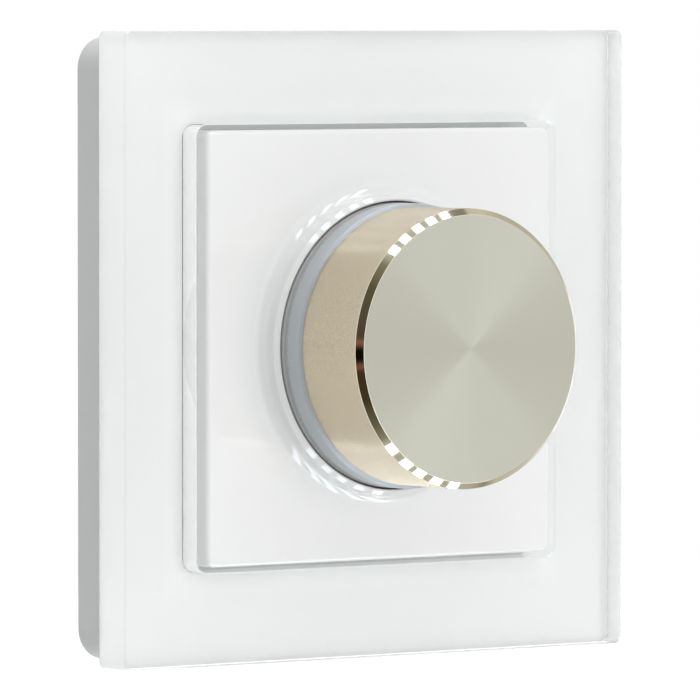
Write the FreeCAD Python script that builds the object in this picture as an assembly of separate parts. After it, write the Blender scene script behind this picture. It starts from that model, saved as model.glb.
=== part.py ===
import FreeCAD, Part
import math
import os
from FreeCAD import Vector

# Rotary push dimmer in a glass frame, in millimetres.
# X runs to the right as the user sees it, Z up, and the front looks along -Y.
# The origin is the middle of the wall plane: the frame lies before it, the insert behind it.

# Steel support plate and the wall box that it is screwed to
BOX_SCREW_SPACING = 60.0
BOX_SLOT_LENGTH = 7.0
BOX_SLOT_RADIUS = 2.1
SLOT_EDGE = 2.0
SUPPORT_THICKNESS = 1.0
SUPPORT_CORNER_CUT = 7.0
SUPPORT_HOLE_GAP = 0.3
EDGE_BEND = 1.4
EDGE_BEND_LENGTH = 18.0

# Moulded carrier round the support plate
SUPPORT_CLEARANCE = 1.95
CARRIER_WALL = 1.8
CARRIER_DEPTH = 5.9
CARRIER_CORNER = 4.0
CARRIER_PANEL = 2.0
CARRIER_EDGE_CHAMFER = 0.3
LIP_WALL = 1.0
LEDGE_WIDTH = 1.75
CARRIER_RIB = 1.2
CARRIER_RIB_OFFSET = 14.0
CARRIER_RIB_GAP = 0.4

# Foam tape in a recess of the carrier
TAPE_THICKNESS = 0.4
TAPE_WIDTH = 6.0
TAPE_MARGIN = 2.2
TAPE_CLEARANCE = 0.1

# Glass frame on the carrier, with a cutout for the cover plate
GLASS_THICKNESS = 5.5
GLASS_OVERHANG = 0.75
GLASS_CORNER = 1.0
GLASS_BEVEL = 0.2
CUTOUT_SIDE_GAP = 1.2
CUTOUT_TOP_GAP = 0.7
CUTOUT_CORNER = 1.6

# Cover plate with its collar and knob well
PLATE_SIZE = 55.0
PLATE_STAND = 0.55
PLATE_CORNER = 1.2
PLATE_EDGE_ROUND = 0.6
PLATE_SKIN = 2.0
PLATE_WALL = 1.8
PLATE_RIB = 1.2
PLATE_RIB_DEPTH = 2.4
COLLAR_RISE = 3.1
COLLAR_WALL = 0.75
COLLAR_FLARE = 1.8
COLLAR_LIP_CHAMFER = 0.1
COLLAR_BEVEL = 0.5
WELL_WALL = 1.8
WELL_CLEARANCE = 0.25
FLOOR_GAP = 3.6
FLOOR_THICKNESS = 1.8
TAB_WIDTH = 7.0
TAB_THICKNESS = 1.2
TAB_OFFSET = 9.0
TAB_CLEARANCE = 0.3
TAB_END_GAP = 0.5

# Knob: turned cap, moulded hub, translucent ring
CAP_RADIUS = 17.7
CAP_LENGTH = 11.7
CAP_FACE = 1.6
CAP_WALL = 1.3
CAP_CHAMFER = 0.8
KNOB_STAND = 18.43
RING_FLARE = 0.45
RING_SPIGOT = 2.0
HUB_DISC = 1.8
HUB_WALL = 1.4
HUB_FIT = 0.05
BOSS_WALL = 2.2
HUB_RIB = 1.2
HUB_RIB_COUNT = 6
HUB_CLEARANCE = 0.6
BOSS_SLOT_WIDTH = 1.0
BOSS_SLOT_LENGTH = 8.0
CLIP_THICKNESS = 0.5
CLIP_WIDTH = 4.0
CLIP_OPENING = 3.0
CLIP_SETBACK = 2.0
BORE_END_GAP = 0.3

# Shaft, bushing, nut and washer
SHAFT_RADIUS = 3.0
SHAFT_FLAT = 1.5
SHAFT_TIP_CHAMFER = 0.4
SHAFT_RUNNING_FIT = 0.06
FLAT_FIT = 0.05
BUSHING_RADIUS = 5.0
BUSHING_CHAMFER = 0.4
BUSHING_PAST_NUT = 0.5
BUSHING_FIT = 0.2
THREAD_FIT = 0.04
NUT_ACROSS_FLATS = 14.0
NUT_THICKNESS = 2.2
NUT_CHAMFER = 0.5
WASHER_THICKNESS = 0.5
WASHER_TEETH = 12
WASHER_TOOTH = 0.8
WASHER_BAND = 2.0
FLANGE_RADIUS = 4.2
FLANGE_THICKNESS = 0.6

# Lamps that light the ring from below
LAMP_BOARD_THICKNESS = 1.0
LAMP_BOARD_WIDTH = 4.2
LAMP_BOARD_GAP = 0.4
LAMP_LENGTH = 3.0
LAMP_WIDTH = 1.6
LAMP_HEIGHT = 0.9
LAMP_COUNT = 4
RING_FLOOR_GAP = 0.6

# Insert housing behind the wall plane
HOUSING_RADIUS = 26.0
HOUSING_SIDE_CUT = 4.0
HOUSING_END_CUT = 2.0
HOUSING_DEPTH = 22.0
HOUSING_WALL = 1.6
HOUSING_EDGE_CHAMFER = 0.6
LID_THICKNESS = 2.0
LID_BOSS_RADIUS = 7.7
LID_SPIGOT_DEPTH = 1.2
LID_SPIGOT_WALL = 1.2
MOULDING_CLEARANCE = 0.15
SCREW_RIM_DISTANCE = 4.08
SCREW_RADIUS = 1.3
SCREW_HEAD_RADIUS = 2.6
SCREW_HEAD_HEIGHT = 1.5
SCREW_LENGTH = 12.0
SCREW_HOLE_GAP = 0.3
SCREW_PILOT_GAP = 0.04
PILOT_PAST_SCREW = 1.0
SCREW_CROSS_LENGTH = 3.1
SCREW_CROSS_WIDTH = 0.7
SCREW_CROSS_DEPTH = 0.8
POST_WALL = 1.9
BOARD_REST_SIZE = 2.5

# Rotary encoder with push switch
ENCODER_SIDE_WALL = 1.1
ENCODER_WALL = 1.0
ENCODER_BASE = 0.6
AXIAL_PLAY = 0.1
PRESS_TRAVEL = 1.0
RUNNING_GAP = 0.3
ROTOR_RADIUS = 5.4
ROTOR_ROOM = 1.0
ROTOR_THICKNESS = 1.8
DETENT_COUNT = 16
DETENT_RADIUS = 0.5
DETENT_DEPTH = 0.15
DETENT_BUMP_RADIUS = 0.4
DETENT_RUNNING_GAP = 0.04
DETENT_BAND = 0.25
DETENT_BAND_ANGLE = 100.0
DETENT_WALL_GAP = 0.05
PARTITION_THICKNESS = 0.5
ACTUATOR_RADIUS = 4.6
ACTUATOR_THICKNESS = 0.6
ACTUATOR_GAP = 0.3
DOME_HEIGHT = 1.7
DOME_THICKNESS = 0.2
DOME_INSET = 0.1
DOME_FOOT = 0.4
DOME_TOP_WIDTH = 2.0
DOME_LEG_WIDTH = 1.6

# Circuit board and what stands on it
BOARD_THICKNESS = 1.4
BOARD_CLEARANCE = 0.3
TERMINAL_COUNT = 3
TERMINAL_POST_GAP = 0.56
TERMINAL_WALL = 0.9
TERMINAL_DEPTH = 9.0
TERMINAL_RIM_GAP = 0.36
WINDOW_SIDE = 1.4
WINDOW_CLEARANCE = 0.15
CLAMP_CLEARANCE = 0.1
CLAMP_WALL = 0.9
CLAMP_LENGTH = 5.6
CLAMP_FLOOR_GAP = 0.8
CLAMP_ROOF_GAP = 2.2
CLAMP_SCREW_RADIUS = 1.45
CLAMP_SCREW_REACH = 0.9
CLAMP_HEAD_RADIUS = 2.0
CLAMP_HEAD_HEIGHT = 1.6
CLAMP_SLOT_WIDTH = 0.6
CLAMP_SLOT_DEPTH = 0.8
CLAMP_THREAD_GAP = 0.05
SCREW_ACCESS_GAP = 0.2
HEAT_SINK_THICKNESS = 1.2
HEAT_SINK_HEIGHT = 17.0
HEAT_SINK_GAP = 0.1
TRANSISTOR_THICKNESS = 4.4
TRANSISTOR_WIDTH = 7.0
TRANSISTOR_SPACING = 8.4
COMPONENT_ROOF_GAP = 0.6
CAPACITOR_WIDTH = 12.0
CAPACITOR_THICKNESS = 5.4
CAPACITOR_X = 4.0
CAPACITOR_WALL_GAP = 1.3
CAPACITOR_ROUND = 0.8
FUSE_RADIUS = 2.0
FUSE_X = -6.5
FUSE_WALL_GAP = 2.4
CHOKE_OUTER_RADIUS = 5.2
CHOKE_INNER_RADIUS = 2.8
CHOKE_WALL_GAP = 2.65
CHOKE_TURNS = 12
CHOKE_WIRE = 0.5
CHOKE_WIRE_GAP = 0.05

# Depths before the wall, from the wall plane forwards
carrier_front_y = -CARRIER_DEPTH
glass_front_y = carrier_front_y - GLASS_THICKNESS
plate_front_y = glass_front_y - PLATE_STAND
collar_front_y = plate_front_y - COLLAR_RISE
knob_face_y = plate_front_y - KNOB_STAND
cap_inner_y = knob_face_y + CAP_FACE
cap_rim_y = knob_face_y + CAP_LENGTH
hub_disc_back_y = cap_inner_y + HUB_DISC
hub_wall_back_y = cap_rim_y - RING_SPIGOT
shaft_tip_y = hub_disc_back_y + BORE_END_GAP

# Depths of the clamped stack round the bushing
support_front_y = -SUPPORT_THICKNESS
floor_back_y = support_front_y - FLOOR_GAP
floor_front_y = floor_back_y - FLOOR_THICKNESS
washer_front_y = floor_front_y - WASHER_THICKNESS
nut_front_y = washer_front_y - NUT_THICKNESS
bushing_front_y = nut_front_y - BUSHING_PAST_NUT
hub_back_y = bushing_front_y - PRESS_TRAVEL - HUB_CLEARANCE
lamp_board_front_y = floor_front_y - LAMP_BOARD_THICKNESS
lamp_front_y = lamp_board_front_y - LAMP_HEIGHT
ring_back_y = lamp_front_y - PRESS_TRAVEL - RING_FLOOR_GAP

# Depths behind the wall, from the lid backwards
chamber_front_y = LID_THICKNESS + ENCODER_WALL
flange_front_y = chamber_front_y + AXIAL_PLAY
flange_back_y = flange_front_y + FLANGE_THICKNESS
rotor_front_y = flange_back_y + PRESS_TRAVEL + RUNNING_GAP
rotor_back_y = rotor_front_y + ROTOR_THICKNESS
partition_front_y = rotor_back_y + RUNNING_GAP
partition_back_y = partition_front_y + PARTITION_THICKNESS
actuator_front_y = partition_back_y + AXIAL_PLAY
actuator_back_y = actuator_front_y + ACTUATOR_THICKNESS
base_front_y = actuator_back_y + DOME_HEIGHT
board_front_y = base_front_y + ENCODER_BASE
board_back_y = board_front_y + BOARD_THICKNESS
pot_floor_y = HOUSING_DEPTH - HOUSING_WALL
component_back_y = pot_floor_y - COMPONENT_ROOF_GAP

# Outlines that several pieces share
support_size = BOX_SCREW_SPACING + BOX_SLOT_LENGTH + 2 * SLOT_EDGE
carrier_size = support_size + 2 * (SUPPORT_CLEARANCE + CARRIER_WALL)
glass_size = carrier_size + 2 * GLASS_OVERHANG
cutout_width = PLATE_SIZE + 2 * CUTOUT_SIDE_GAP
cutout_height = PLATE_SIZE + 2 * CUTOUT_TOP_GAP
opening_size = PLATE_SIZE - 2 * LEDGE_WIDTH
housing_width = 2 * (HOUSING_RADIUS - HOUSING_SIDE_CUT)
housing_height = 2 * (HOUSING_RADIUS - HOUSING_END_CUT)

# Radii that several pieces share
shaft_bore_radius = SHAFT_RADIUS + SHAFT_RUNNING_FIT
ring_radius = CAP_RADIUS + RING_FLARE
well_radius = ring_radius + WELL_CLEARANCE
hub_radius = CAP_RADIUS - CAP_WALL - HUB_FIT
lamp_board_radius = well_radius - LAMP_BOARD_GAP
chamber_radius = ROTOR_RADIUS + ROTOR_ROOM
boss_radius = SHAFT_RADIUS + FLAT_FIT + BOSS_WALL
floor_hole_radius = BUSHING_RADIUS + BUSHING_FIT
screw_hole_radius = SCREW_RADIUS + SCREW_HOLE_GAP
post_radius = SCREW_RADIUS + SCREW_PILOT_GAP + POST_WALL
screw_offset = (HOUSING_RADIUS - SCREW_RIM_DISTANCE) * math.sqrt(0.5)

# Places of the terminals, side by side between the screw posts
terminal_room = 2 * (screw_offset - post_radius - TERMINAL_POST_GAP)
terminal_pitch = (terminal_room - TERMINAL_WALL) / TERMINAL_COUNT
terminal_columns = [(index - (TERMINAL_COUNT - 1) / 2) * terminal_pitch for index in range(TERMINAL_COUNT)]
terminal_rim = HOUSING_RADIUS - HOUSING_WALL - TERMINAL_RIM_GAP
terminal_outer_z = -math.sqrt(terminal_rim ** 2 - (terminal_room / 2) ** 2)
terminal_z = terminal_outer_z + TERMINAL_DEPTH / 2
clamp_width = terminal_pitch - TERMINAL_WALL - 2 * CLAMP_CLEARANCE
clamp_front_y = board_back_y + CLAMP_FLOOR_GAP
clamp_back_y = pot_floor_y - CLAMP_ROOF_GAP
wire_window = clamp_width - 2 * WINDOW_SIDE
wire_y = (clamp_front_y + clamp_back_y) / 2 - CLAMP_WALL / 2
access_radius = CLAMP_HEAD_RADIUS + SCREW_ACCESS_GAP

ALONG = Vector(0, 1, 0)
MIDDLE = Vector(0, 0, 0)
NEAR = 1e-4


def rounded_outline(width, height, radius, y, x=0.0, z=0.0):
    """Closed outline of a rectangle with round corners, in the plane at depth y."""
    reach_x = width / 2 - radius
    reach_z = height / 2 - radius
    corners = []
    for quarter, (side_x, side_z) in enumerate(((1, 1), (-1, 1), (-1, -1), (1, -1))):
        centre = Vector(x + side_x * reach_x, y, z + side_z * reach_z)
        angles = [math.radians(90 * quarter + 45 * step) for step in (0, 1, 2)]
        corners.append([centre + Vector(math.cos(a), 0, math.sin(a)) * radius for a in angles])
    edges = []
    for corner, following in zip(corners, corners[1:] + corners[:1]):
        edges.append(Part.Arc(*corner).toShape())
        if not corner[2].isEqual(following[0], NEAR):
            edges.append(Part.LineSegment(corner[2], following[0]).toShape())
    return Part.Wire(edges)


def rounded_block(width, height, radius, y_front, y_back, x=0.0, z=0.0):
    """Block with round corners, from y_front back to y_back."""
    outline = rounded_outline(width, height, radius, y_front, x, z)
    return Part.Face(outline).extrude(ALONG * (y_back - y_front))


def block(width, height, y_front, y_back, x=0.0, z=0.0):
    """Square-cornered block centred on x and z."""
    corner = Vector(x - width / 2, y_front, z - height / 2)
    return Part.makeBox(width, y_back - y_front, height, corner)


def rod(radius, y_front, y_back, x=0.0, z=0.0):
    """Cylinder along Y."""
    return Part.makeCylinder(radius, y_back - y_front, Vector(x, y_front, z), ALONG)


def ring(outer_radius, inner_radius, y_front, y_back, x=0.0, z=0.0):
    """Flat ring or tube along Y."""
    return rod(outer_radius, y_front, y_back, x, z).cut(rod(inner_radius, y_front, y_back, x, z))


def turned(profile):
    """Solid turned about Y from (radius, depth) points; four numbers are an arc's middle and end."""
    here = Vector(*profile[0], 0)
    edges = []
    for entry in profile[1:] + [profile[0]]:
        there = Vector(entry[-2], entry[-1], 0)
        if len(entry) == 4:
            edges.append(Part.Arc(here, Vector(entry[0], entry[1], 0), there).toShape())
        else:
            edges.append(Part.LineSegment(here, there).toShape())
        here = there
    return Part.Face(Part.Wire(edges)).revolve(MIDDLE, ALONG, 360)


def turned_about(shape, angle):
    """Copy of a shape turned about the Y axis by an angle in degrees."""
    copy = shape.copy()
    copy.rotate(MIDDLE, ALONG, angle)
    return copy


def repeated(shape, count):
    """Copies of a shape spread evenly round the Y axis."""
    return [turned_about(shape, 360 * index / count) for index in range(count)]


def edges_at(shape, y):
    """Edges of a shape that lie wholly at one depth."""
    return [edge for edge in shape.Edges if all(abs(point.y - y) < NEAR for point in edge.discretize(3))]


def shaft_outline(gap, y_front, y_back):
    """Shaft with its flat, or with a gap all round the bore that holds it."""
    round_part = rod(SHAFT_RADIUS + gap, y_front, y_back)
    side = 4 * SHAFT_RADIUS
    below_flat = block(side, side, y_front, y_back, z=SHAFT_FLAT + gap - side / 2)
    return round_part.common(below_flat)


def housing_outline(inset, y_front, y_back):
    """Round insert housing with flat sides, drawn in by an inset."""
    disc = rod(HOUSING_RADIUS - inset, y_front, y_back)
    return disc.common(block(housing_width - 2 * inset, housing_height - 2 * inset, y_front, y_back))


def at_housing_screws(make):
    """What make(x, z) gives, at the two screws across the housing's corners."""
    return [make(side * screw_offset, -side * screw_offset) for side in (-1, 1)]


def make_glass_frame():
    """Square of clear glass with a square cutout, its front edges lightly bevelled."""
    glass = rounded_block(glass_size, glass_size, GLASS_CORNER, glass_front_y, carrier_front_y)
    cutout = rounded_block(cutout_width, cutout_height, CUTOUT_CORNER, glass_front_y, carrier_front_y)
    glass = glass.cut(cutout)
    return glass.makeChamfer(GLASS_BEVEL, edges_at(glass, glass_front_y))


def tape_band(gap, y_front, y_back):
    """Square band for the tape along the carrier's edge, with a gap added on each side of it."""
    outer = carrier_size - 2 * TAPE_MARGIN
    inner = outer - 2 * TAPE_WIDTH
    band = block(outer + 2 * gap, outer + 2 * gap, y_front, y_back)
    return band.cut(block(inner - 2 * gap, inner - 2 * gap, y_front, y_back))


def make_bonding_tape():
    """Foam tape that holds the glass on the carrier."""
    return tape_band(0.0, carrier_front_y, carrier_front_y + TAPE_THICKNESS)


def make_frame_carrier():
    """Moulded frame: front panel, outer wall, lip round the opening, and ribs between the two."""
    panel_back_y = carrier_front_y + CARRIER_PANEL
    carrier = rounded_block(carrier_size, carrier_size, CARRIER_CORNER, carrier_front_y, 0.0)
    carrier = carrier.makeChamfer(CARRIER_EDGE_CHAMFER, edges_at(carrier, 0.0))
    hollow_size = carrier_size - 2 * CARRIER_WALL
    hollow = rounded_block(hollow_size, hollow_size, CARRIER_CORNER - CARRIER_WALL, panel_back_y, 0.0)
    carrier = carrier.cut(hollow)
    lip_size = opening_size + 2 * LIP_WALL
    lip = block(lip_size, lip_size, panel_back_y, support_front_y)
    rib_length = (hollow_size - lip_size) / 2
    rib_centre = (hollow_size + lip_size) / 4
    rib_back_y = support_front_y - CARRIER_RIB_GAP
    ribs = []
    for offset in (-CARRIER_RIB_OFFSET, CARRIER_RIB_OFFSET):
        rib = block(rib_length, CARRIER_RIB, panel_back_y, rib_back_y, x=rib_centre, z=offset)
        ribs += repeated(rib, 4)
    carrier = carrier.multiFuse([lip] + ribs).removeSplitter()
    carrier = carrier.cut(block(opening_size, opening_size, carrier_front_y, 0.0))
    return carrier.cut(tape_band(TAPE_CLEARANCE, carrier_front_y, carrier_front_y + TAPE_THICKNESS))


def make_cover_plate():
    """Cover plate: rounded square front, flared collar, knob well with a floor, ribs and locating tabs."""
    plate = rounded_block(PLATE_SIZE, PLATE_SIZE, PLATE_CORNER, plate_front_y, carrier_front_y)
    plate = plate.makeFillet(PLATE_EDGE_ROUND, edges_at(plate, plate_front_y))
    skin_back_y = plate_front_y + PLATE_SKIN
    hollow_size = PLATE_SIZE - 2 * PLATE_WALL
    plate = plate.cut(block(hollow_size, hollow_size, skin_back_y, carrier_front_y))
    plate = plate.cut(rod(well_radius, plate_front_y, skin_back_y))

    collar_radius = well_radius + COLLAR_WALL
    foot_radius = collar_radius + COLLAR_FLARE
    arc_sag = 1 - math.sqrt(0.5)
    flare_mid = (collar_radius + COLLAR_FLARE * arc_sag, plate_front_y - COLLAR_FLARE * arc_sag)
    well_outer_radius = well_radius + WELL_WALL
    collar = turned([
        (floor_hole_radius, floor_front_y),
        (well_radius, floor_front_y),
        (well_radius, collar_front_y + COLLAR_LIP_CHAMFER),
        (well_radius + COLLAR_LIP_CHAMFER, collar_front_y),
        (collar_radius - COLLAR_BEVEL, collar_front_y),
        (collar_radius, collar_front_y + COLLAR_BEVEL),
        (collar_radius, plate_front_y - COLLAR_FLARE),
        (*flare_mid, foot_radius, plate_front_y),
        (foot_radius, skin_back_y),
        (well_outer_radius, skin_back_y),
        (well_outer_radius, floor_back_y),
        (floor_hole_radius, floor_back_y),
    ])

    rib_inner = well_outer_radius - WELL_WALL / 2
    rib_length = hollow_size / 2 + PLATE_WALL / 2 - rib_inner
    rib_back_y = skin_back_y + PLATE_RIB_DEPTH
    rib = block(rib_length, PLATE_RIB, skin_back_y, rib_back_y, x=rib_inner + rib_length / 2)
    ribs = repeated(rib, 4)

    tab_x = opening_size / 2 - TAB_CLEARANCE - TAB_THICKNESS / 2
    tab_back_y = support_front_y - TAB_END_GAP
    tabs = []
    for offset in (-TAB_OFFSET, TAB_OFFSET):
        tab = block(TAB_THICKNESS, TAB_WIDTH, skin_back_y, tab_back_y, x=tab_x, z=offset)
        tabs += repeated(tab, 4)
    return plate.multiFuse([collar] + ribs + tabs).removeSplitter()


def make_knob_cap():
    """Turned aluminium cap with a bright bevel round its face."""
    inner_radius = CAP_RADIUS - CAP_WALL
    return turned([
        (0.0, knob_face_y),
        (CAP_RADIUS - CAP_CHAMFER, knob_face_y),
        (CAP_RADIUS, knob_face_y + CAP_CHAMFER),
        (CAP_RADIUS, cap_rim_y),
        (inner_radius, cap_rim_y),
        (inner_radius, cap_inner_y),
        (0.0, cap_inner_y),
    ])


def make_knob_hub():
    """Moulded core of the knob: disc, outer wall, ribs and a split boss with a D-shaped bore."""
    disc = rod(hub_radius, cap_inner_y, hub_disc_back_y)
    wall = ring(hub_radius, hub_radius - HUB_WALL, hub_disc_back_y, hub_wall_back_y)
    boss = rod(boss_radius, hub_disc_back_y, hub_back_y)
    rib_inner = boss_radius - BOSS_WALL / 2
    rib_length = hub_radius - HUB_WALL / 2 - rib_inner
    rib = block(rib_length, HUB_RIB, hub_disc_back_y, hub_wall_back_y, x=rib_inner + rib_length / 2)
    hub = disc.multiFuse([wall, boss] + repeated(rib, HUB_RIB_COUNT)).removeSplitter()
    hub = hub.cut(shaft_outline(FLAT_FIT, hub_disc_back_y, hub_back_y))
    slot = block(BOSS_SLOT_WIDTH, 3 * boss_radius, hub_back_y - BOSS_SLOT_LENGTH, hub_back_y)
    return hub.cut(slot)


def make_hub_clip():
    """Open spring band that squeezes the split boss onto the shaft."""
    clip_back_y = hub_back_y - CLIP_SETBACK
    clip_front_y = clip_back_y - CLIP_WIDTH
    inner = boss_radius + HUB_FIT
    band = ring(inner + CLIP_THICKNESS, inner, clip_front_y, clip_back_y)
    return band.cut(block(CLIP_OPENING, 2 * boss_radius, clip_front_y, clip_back_y, z=2 * boss_radius))


def make_light_ring():
    """Translucent ring under the cap's rim: spigot in the cap, bevelled skirt down into the well."""
    inner_radius = hub_radius - HUB_WALL
    return turned([
        (inner_radius, hub_wall_back_y),
        (hub_radius, hub_wall_back_y),
        (hub_radius, cap_rim_y),
        (CAP_RADIUS, cap_rim_y),
        (ring_radius, cap_rim_y + RING_FLARE),
        (ring_radius, ring_back_y),
        (inner_radius, ring_back_y),
    ])


def make_encoder_shaft():
    """Turned shaft with a retaining flange and a flat at each end."""
    side = 4 * SHAFT_RADIUS
    shaft = rod(SHAFT_RADIUS, shaft_tip_y, actuator_front_y)
    shaft = shaft.makeChamfer(SHAFT_TIP_CHAMFER, edges_at(shaft, shaft_tip_y))
    for flat_front_y, flat_back_y in ((shaft_tip_y, bushing_front_y), (flange_back_y, actuator_front_y)):
        shaft = shaft.cut(block(side, side, flat_front_y, flat_back_y, z=SHAFT_FLAT + side / 2))
    return shaft.fuse(rod(FLANGE_RADIUS, flange_front_y, flange_back_y)).removeSplitter()


def make_encoder_bushing():
    """Threaded bushing that the shaft turns in."""
    return turned([
        (shaft_bore_radius, bushing_front_y),
        (BUSHING_RADIUS - BUSHING_CHAMFER, bushing_front_y),
        (BUSHING_RADIUS, bushing_front_y + BUSHING_CHAMFER),
        (BUSHING_RADIUS, LID_THICKNESS),
        (shaft_bore_radius, LID_THICKNESS),
    ])


def make_bushing_nut():
    """Hexagon nut with its front face chamfered at the corners."""
    flat_radius = NUT_ACROSS_FLATS / 2
    corner_radius = flat_radius / math.cos(math.pi / 6)
    points = []
    for corner in range(7):
        angle = math.pi / 3 * corner
        points.append(Vector(corner_radius * math.cos(angle), nut_front_y, corner_radius * math.sin(angle)))
    hexagon = Part.Face(Part.makePolygon(points)).extrude(ALONG * NUT_THICKNESS)
    dome = turned([
        (0.0, nut_front_y),
        (flat_radius, nut_front_y),
        (corner_radius, nut_front_y + NUT_CHAMFER),
        (corner_radius, washer_front_y),
        (0.0, washer_front_y),
    ])
    return hexagon.common(dome).cut(rod(BUSHING_RADIUS + THREAD_FIT, nut_front_y, washer_front_y))


def make_lock_washer():
    """Spring steel washer with teeth round its edge."""
    band_radius = floor_hole_radius + WASHER_BAND
    washer = ring(band_radius, floor_hole_radius, washer_front_y, floor_front_y)
    tooth = block(WASHER_TOOTH * 2, WASHER_TOOTH, washer_front_y, floor_front_y, x=band_radius)
    return washer.multiFuse(repeated(tooth, WASHER_TEETH)).removeSplitter()


def make_lamp_board():
    """Ring circuit board on the floor of the well."""
    return ring(lamp_board_radius, lamp_board_radius - LAMP_BOARD_WIDTH, lamp_board_front_y, floor_front_y)


def make_ring_lamps():
    """Small lamps spread round the board, under the translucent ring."""
    circle_radius = lamp_board_radius - LAMP_BOARD_WIDTH / 2
    lamp = block(LAMP_WIDTH, LAMP_LENGTH, lamp_front_y, lamp_board_front_y, x=circle_radius)
    return Part.makeCompound(repeated(lamp, LAMP_COUNT))


def slot(x, z, y_front, y_back):
    """Slot of the support plate, along X."""
    return rounded_block(BOX_SLOT_LENGTH, 2 * BOX_SLOT_RADIUS, BOX_SLOT_RADIUS, y_front, y_back, x, z)


def make_support_plate():
    """Stamped steel plate: cut corners, slots for the wall box, bent edges and a hole for the lid's boss."""
    half = support_size / 2
    cut = half - SUPPORT_CORNER_CUT
    outline = [(half, -cut), (half, cut), (cut, half), (-cut, half), (-half, cut),
               (-half, -cut), (-cut, -half), (cut, -half), (half, -cut)]
    polygon = Part.makePolygon([Vector(x, support_front_y, z) for x, z in outline])
    plate = Part.Face(polygon).extrude(ALONG * SUPPORT_THICKNESS)
    bend = block(SUPPORT_THICKNESS, EDGE_BEND_LENGTH, support_front_y - EDGE_BEND, support_front_y,
                 x=half - SUPPORT_THICKNESS / 2)
    plate = plate.multiFuse(repeated(bend, 4)).removeSplitter()
    plate = plate.cut(rod(LID_BOSS_RADIUS + SUPPORT_HOLE_GAP, support_front_y, 0.0))
    holes = at_housing_screws(lambda x, z: rod(screw_hole_radius, support_front_y, 0.0, x, z))
    reach = BOX_SCREW_SPACING / 2
    for x, z in ((reach, 0), (-reach, 0), (0, reach), (0, -reach)):
        holes.append(slot(x, z, support_front_y, 0.0))
    return plate.cut(Part.makeCompound(holes))


def make_housing_front():
    """Lid of the insert: flat-sided disc, boss through the support plate, spigot into the pot."""
    spigot_back_y = LID_THICKNESS + LID_SPIGOT_DEPTH
    inset = HOUSING_WALL + MOULDING_CLEARANCE
    spigot = housing_outline(inset, LID_THICKNESS, spigot_back_y)
    spigot = spigot.cut(housing_outline(inset + LID_SPIGOT_WALL, LID_THICKNESS, spigot_back_y))
    past_post = post_radius + MOULDING_CLEARANCE
    for room in at_housing_screws(lambda x, z: rod(past_post, LID_THICKNESS, spigot_back_y, x, z)):
        spigot = spigot.cut(room)
    boss = rod(LID_BOSS_RADIUS, support_front_y, 0.0)
    lid = housing_outline(0.0, 0.0, LID_THICKNESS).multiFuse([boss, spigot]).removeSplitter()
    lid = lid.cut(rod(floor_hole_radius, support_front_y, LID_THICKNESS))
    holes = at_housing_screws(lambda x, z: rod(screw_hole_radius, 0.0, LID_THICKNESS, x, z))
    return lid.cut(Part.makeCompound(holes))




def make_housing_rear():
    """Pot of the insert: walls, floor, screw posts, rests for the board, wire windows and screw holes."""
    pot = housing_outline(0.0, LID_THICKNESS, HOUSING_DEPTH)
    pot = pot.makeChamfer(HOUSING_EDGE_CHAMFER, edges_at(pot, HOUSING_DEPTH))
    pot = pot.cut(housing_outline(HOUSING_WALL, LID_THICKNESS, pot_floor_y))
    posts = at_housing_screws(lambda x, z: rod(post_radius, LID_THICKNESS, pot_floor_y, x, z))
    rest_x = housing_width / 2 - HOUSING_WALL - BOARD_REST_SIZE / 2
    rest_z = HEAT_SINK_HEIGHT / 2 + BOARD_REST_SIZE
    for side_x in (-1, 1):
        for side_z in (-1, 1):
            posts.append(block(BOARD_REST_SIZE, BOARD_REST_SIZE, board_back_y, pot_floor_y,
                               side_x * rest_x, side_z * rest_z))
    pot = pot.multiFuse(posts).common(housing_outline(0.0, LID_THICKNESS, HOUSING_DEPTH)).removeSplitter()
    screw_end_y = SCREW_LENGTH - SUPPORT_THICKNESS
    pilot_radius = SCREW_RADIUS + SCREW_PILOT_GAP
    pilot_end_y = screw_end_y + PILOT_PAST_SCREW
    cuts = at_housing_screws(lambda x, z: rod(pilot_radius, LID_THICKNESS, pilot_end_y, x, z))
    window = wire_window + 2 * WINDOW_CLEARANCE
    wall_z = -housing_height / 2 + HOUSING_WALL / 2
    for x in terminal_columns:
        cuts.append(block(window, 2 * HOUSING_WALL, wire_y - window / 2, wire_y + window / 2, x, wall_z))
        cuts.append(rod(access_radius, pot_floor_y, HOUSING_DEPTH, x, terminal_z))
    return pot.cut(Part.makeCompound(cuts))


def make_housing_screws():
    """Two cross-recessed screws through plate and lid into the pot's posts."""
    head_front_y = support_front_y - SCREW_HEAD_HEIGHT
    cross_back_y = head_front_y + SCREW_CROSS_DEPTH

    def screw(x, z):
        head = rod(SCREW_HEAD_RADIUS, head_front_y, support_front_y, x, z)
        shank = rod(SCREW_RADIUS, support_front_y, SCREW_LENGTH - SUPPORT_THICKNESS, x, z)
        level = block(SCREW_CROSS_LENGTH, SCREW_CROSS_WIDTH, head_front_y, cross_back_y, x, z)
        upright = block(SCREW_CROSS_WIDTH, SCREW_CROSS_LENGTH, head_front_y, cross_back_y, x, z)
        return head.fuse(shank).cut(level.fuse(upright)).removeSplitter()

    return Part.makeCompound(at_housing_screws(screw))


def make_circuit_board():
    """Board across the pot, notched round the screw posts."""
    board = housing_outline(HOUSING_WALL + BOARD_CLEARANCE, board_front_y, board_back_y)
    notch = post_radius + BOARD_CLEARANCE
    notches = at_housing_screws(lambda x, z: rod(notch, board_front_y, board_back_y, x, z))
    return board.cut(Part.makeCompound(notches))


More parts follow.
